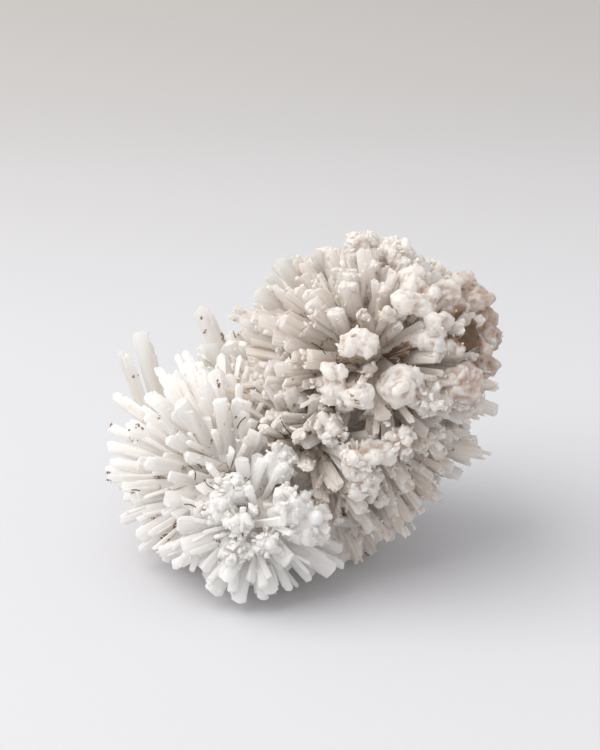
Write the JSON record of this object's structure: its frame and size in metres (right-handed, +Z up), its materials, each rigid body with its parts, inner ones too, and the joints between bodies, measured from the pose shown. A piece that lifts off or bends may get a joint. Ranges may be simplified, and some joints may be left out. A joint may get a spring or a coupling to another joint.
{
  "type": "selenite crystal cluster",
  "caption": "Cluster of radiating milky selenite blades with knobbly crystal lumps, resting on the flat of its broken root.",
  "frame": {"origin": "centre of the cluster's box, on the surface that it rests on", "axes": "+Z up, +X to the right along the cluster's width, and the front, as displayed, faces -Y"},
  "size_m": [0.1415, 0.1236, 0.1138],
  "materials": {
    "milky_gypsum": "milky translucent crystal, vitreous to silky, with pink-beige stained roots"
  },
  "bodies": {
    "root": {"selenite_cluster": "milky_gypsum"}
  },
  "joints": []
}
